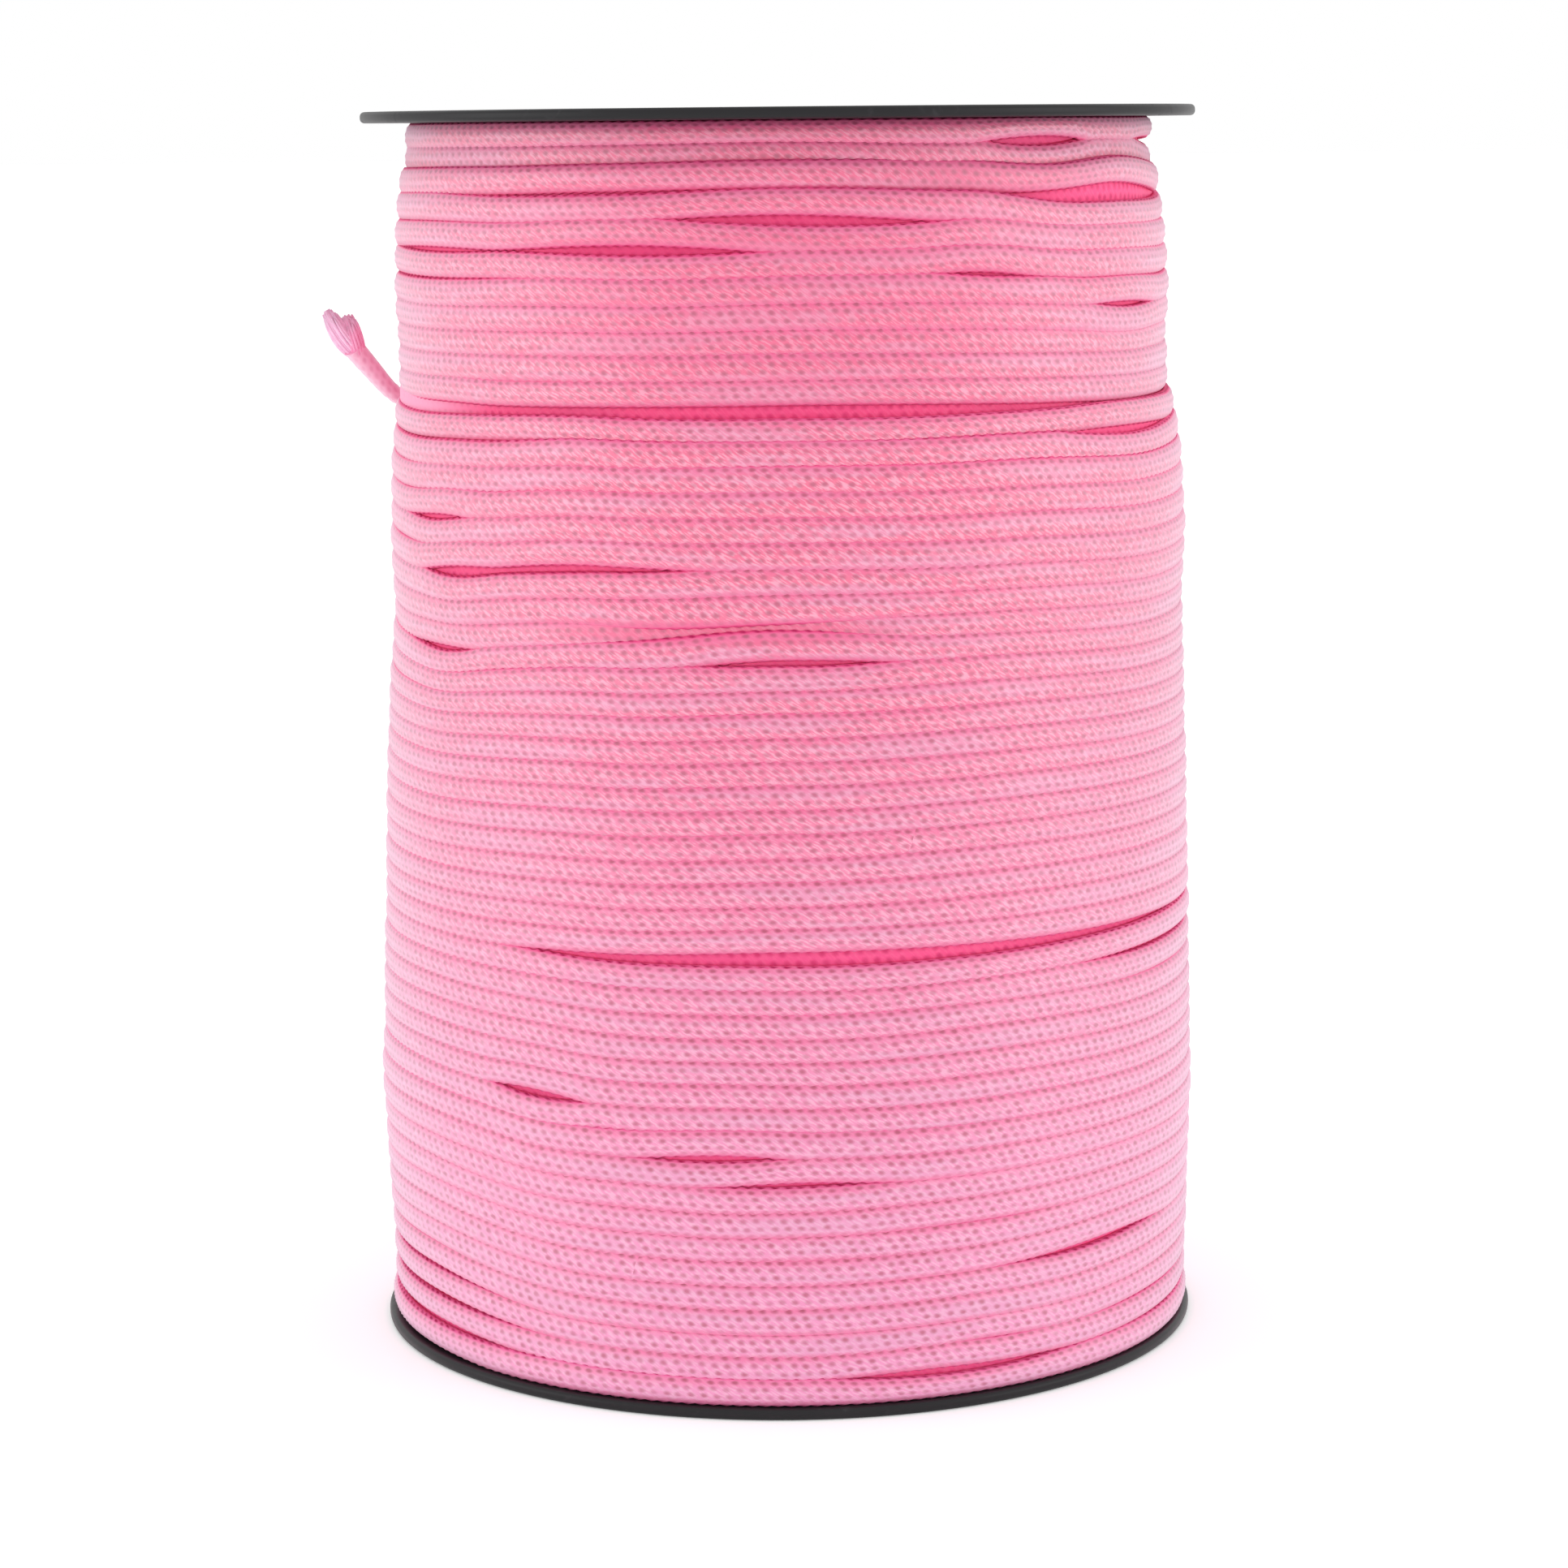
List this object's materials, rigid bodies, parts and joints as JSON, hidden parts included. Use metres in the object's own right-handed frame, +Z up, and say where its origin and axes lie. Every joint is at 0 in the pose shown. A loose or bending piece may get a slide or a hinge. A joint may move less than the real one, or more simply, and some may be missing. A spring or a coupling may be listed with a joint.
{
  "type": "roll of craft cord",
  "caption": "Standing roll of braided craft cord in close, uneven turns on a spool with thin round flanges, one loose end standing out at the side.",
  "frame": {"origin": "foot of the spool's axis, in the middle of the lower flange's resting face", "axes": "+Z up along the spool's axis; -Y is the side the picture shows, and the loose end stands out towards -X"},
  "size_m": [0.171, 0.1654, 0.244],
  "materials": {
    "flange_bottom": "moulded black plastic, low gloss",
    "flange_top": "moulded black plastic, low gloss",
    "wound_cord": "soft pink braid",
    "loose_end": "soft pink braid"
  },
  "bodies": {
    "root": {"flange_bottom": "flange_bottom", "flange_top": "flange_top", "wound_cord": "wound_cord", "loose_end": "loose_end"}
  },
  "joints": []
}
